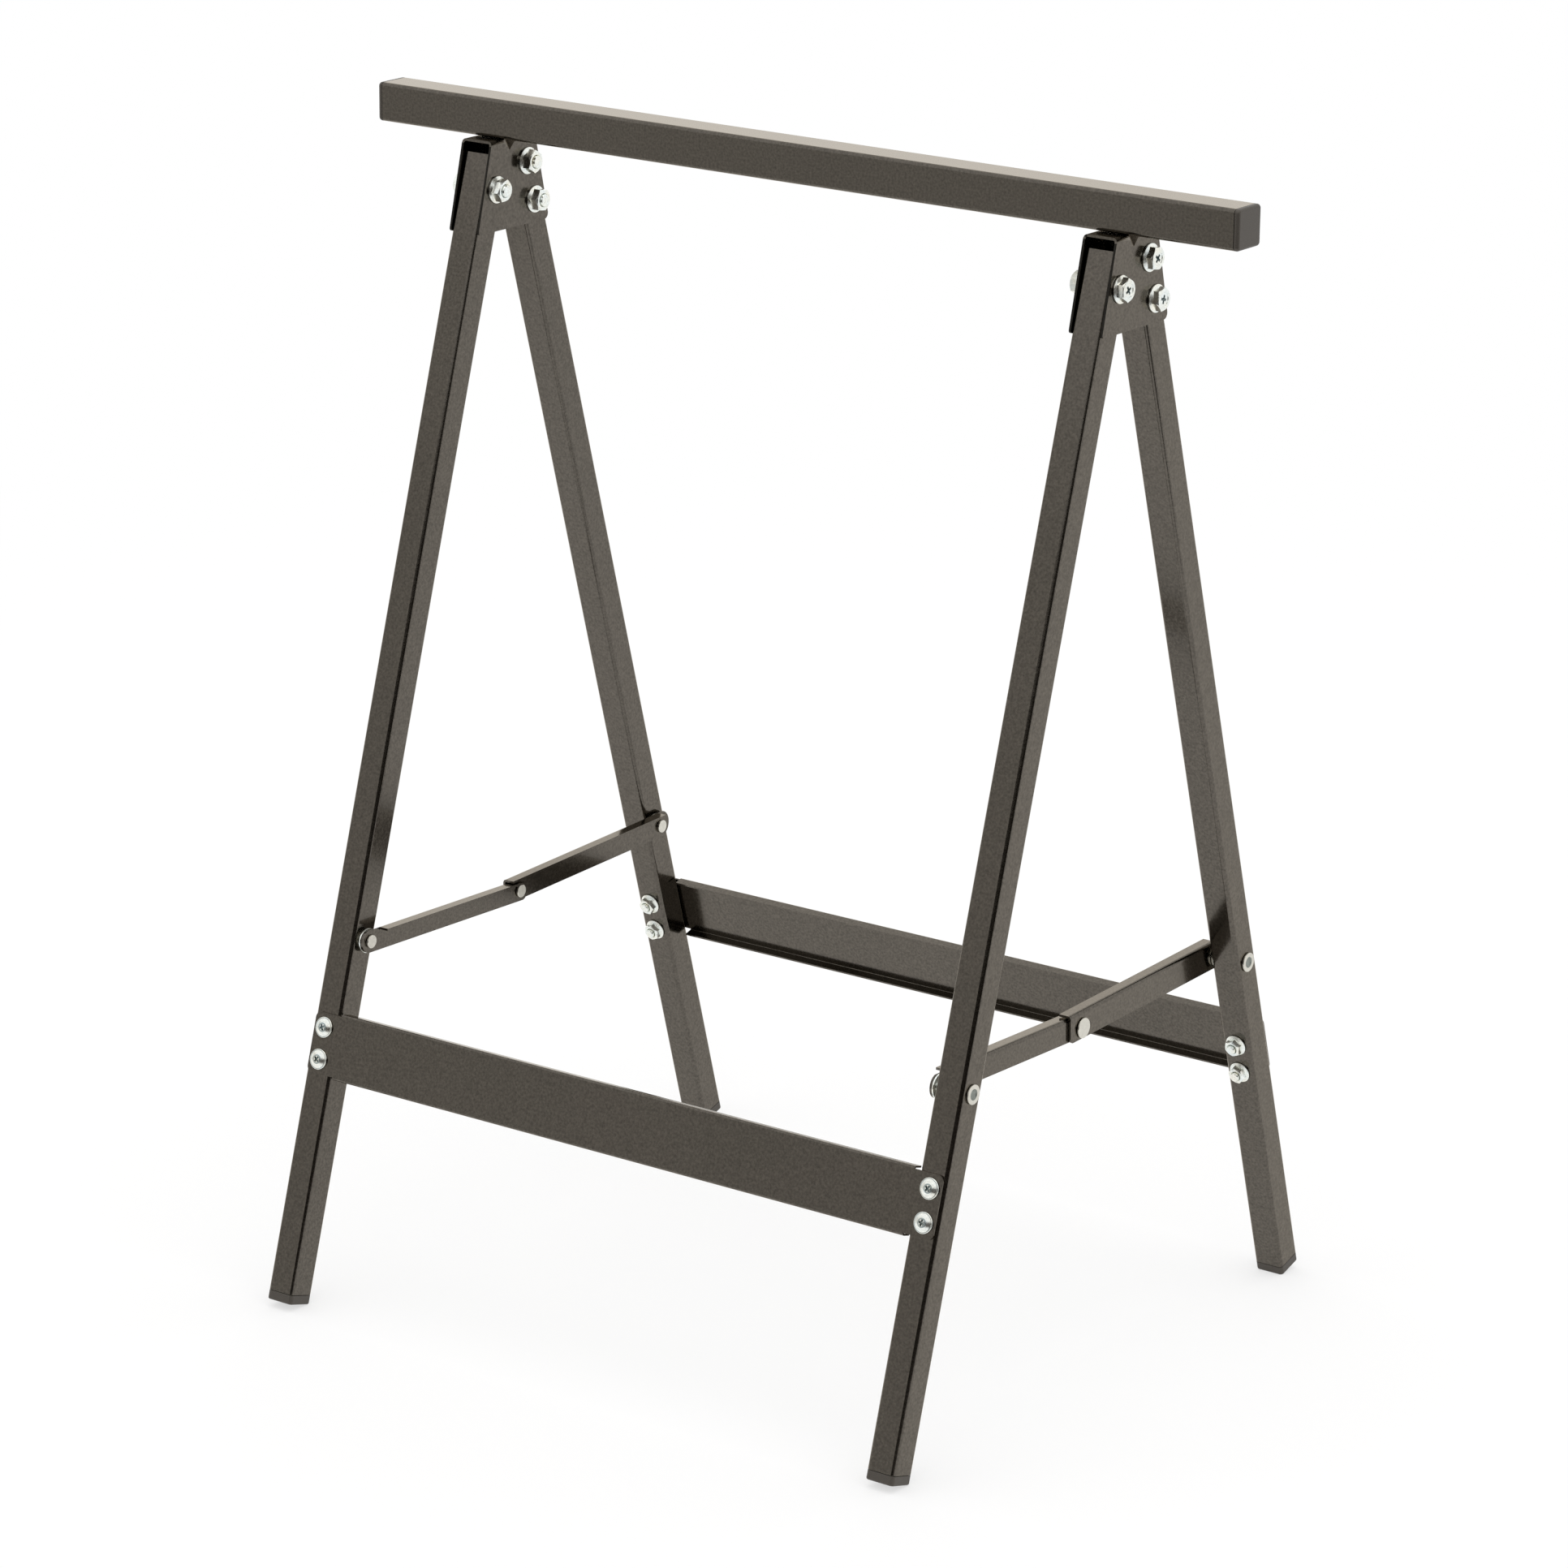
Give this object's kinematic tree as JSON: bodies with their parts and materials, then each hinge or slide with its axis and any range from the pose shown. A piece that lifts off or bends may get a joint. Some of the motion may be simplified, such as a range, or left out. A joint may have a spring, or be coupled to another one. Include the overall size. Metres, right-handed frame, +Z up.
{
  "type": "folding work trestle",
  "caption": "Folding steel work trestle: square-tube beam on bent sheet brackets, splayed square-tube legs with cross rails, folding link braces, plastic end caps, bolts and rivets.",
  "frame": {"origin": "on the floor, below the middle of the beam", "axes": "+X along the beam to the right seen from the front, -Y to the front leg frame, +Z up"},
  "size_m": [0.6466, 0.4592, 0.75],
  "materials": {
    "dark_paint": "glossy dark anthracite metallic paint",
    "zinc": "bright zinc plate",
    "rivet_steel": "pale plated steel",
    "cap_plastic": "dark satin plastic"
  },
  "bodies": {
    "rear_frame": {"beam": "dark_paint", "beam_cap_left": "cap_plastic", "beam_cap_right": "cap_plastic", "bracket_left": "dark_paint", "bracket_right": "dark_paint", "lower_bolt_left": "zinc", "lower_bolt_right": "zinc", "lower_nut_left": "zinc", "lower_nut_right": "zinc", "pivot_bolt_left": "zinc", "pivot_bolt_right": "zinc", "pivot_nut_left": "zinc", "pivot_nut_right": "zinc", "rear_foot_left": "cap_plastic", "rear_foot_right": "cap_plastic", "rear_leg_left": "dark_paint", "rear_leg_right": "dark_paint", "rear_rail": "dark_paint", "rear_rail_nut_lower_left": "zinc", "rear_rail_nut_lower_right": "zinc", "rear_rail_nut_upper_left": "zinc", "rear_rail_nut_upper_right": "zinc", "rear_rivet_left": "rivet_steel", "rear_rivet_right": "rivet_steel", "rear_screw_lower_left": "zinc", "rear_screw_lower_right": "zinc", "rear_screw_upper_left": "zinc", "rear_screw_upper_right": "zinc", "rear_washer_left": "zinc", "rear_washer_right": "zinc", "upper_bolt_left": "zinc", "upper_bolt_right": "zinc", "upper_nut_left": "zinc", "upper_nut_right": "zinc"},
    "front_frame": {"front_foot_left": "cap_plastic", "front_foot_right": "cap_plastic", "front_leg_left": "dark_paint", "front_leg_right": "dark_paint", "front_rail": "dark_paint", "front_rail_nut_lower_left": "zinc", "front_rail_nut_lower_right": "zinc", "front_rail_nut_upper_left": "zinc", "front_rail_nut_upper_right": "zinc", "front_rivet_left": "rivet_steel", "front_rivet_right": "rivet_steel", "front_screw_lower_left": "zinc", "front_screw_lower_right": "zinc", "front_screw_upper_left": "zinc", "front_screw_upper_right": "zinc", "front_spacer_left": "zinc", "front_spacer_right": "zinc"},
    "front_link_group_left": {"front_link_left": "dark_paint", "front_rivet_head_left": "rivet_steel"},
    "front_link_group_right": {"front_link_right": "dark_paint", "front_rivet_head_right": "rivet_steel"},
    "rear_link_group_left": {"middle_rivet_left": "rivet_steel", "rear_link_left": "dark_paint"},
    "rear_link_group_right": {"middle_rivet_right": "rivet_steel", "rear_link_right": "dark_paint"}
  },
  "joints": [
    {"name": "fold", "type": "hinge", "parent": "rear_frame", "child": "front_frame", "pos_m": [0, -0.01752, 0.69381], "axis": [1, 0, 0], "range_deg": [0, 32]},
    {"name": "rear_link_left_hinge", "type": "hinge", "parent": "rear_frame", "child": "rear_link_group_left", "pos_m": [-0.2227, 0.15337, 0.23076], "axis": [1, 0, 0], "range_deg": [-79, 0]},
    {"name": "front_link_left_hinge", "type": "hinge", "parent": "rear_link_group_left", "child": "front_link_group_left", "pos_m": [-0.2227, -0.0012, 0.22526], "axis": [1, 0, 0], "range_deg": [0, 169]},
    {"name": "rear_link_right_hinge", "type": "hinge", "parent": "rear_frame", "child": "rear_link_group_right", "pos_m": [0.2227, 0.15337, 0.23076], "axis": [1, 0, 0], "range_deg": [-79, 0]},
    {"name": "front_link_right_hinge", "type": "hinge", "parent": "rear_link_group_right", "child": "front_link_group_right", "pos_m": [0.2227, -0.0012, 0.22526], "axis": [1, 0, 0], "range_deg": [0, 169]}
  ],
  "couplings": [
    {"joint": "rear_link_left_hinge", "follows": "fold", "ratio": -2.4623},
    {"joint": "front_link_left_hinge", "follows": "fold", "ratio": 5.2774},
    {"joint": "rear_link_right_hinge", "follows": "fold", "ratio": -2.4623},
    {"joint": "front_link_right_hinge", "follows": "fold", "ratio": 5.2774}
  ]
}
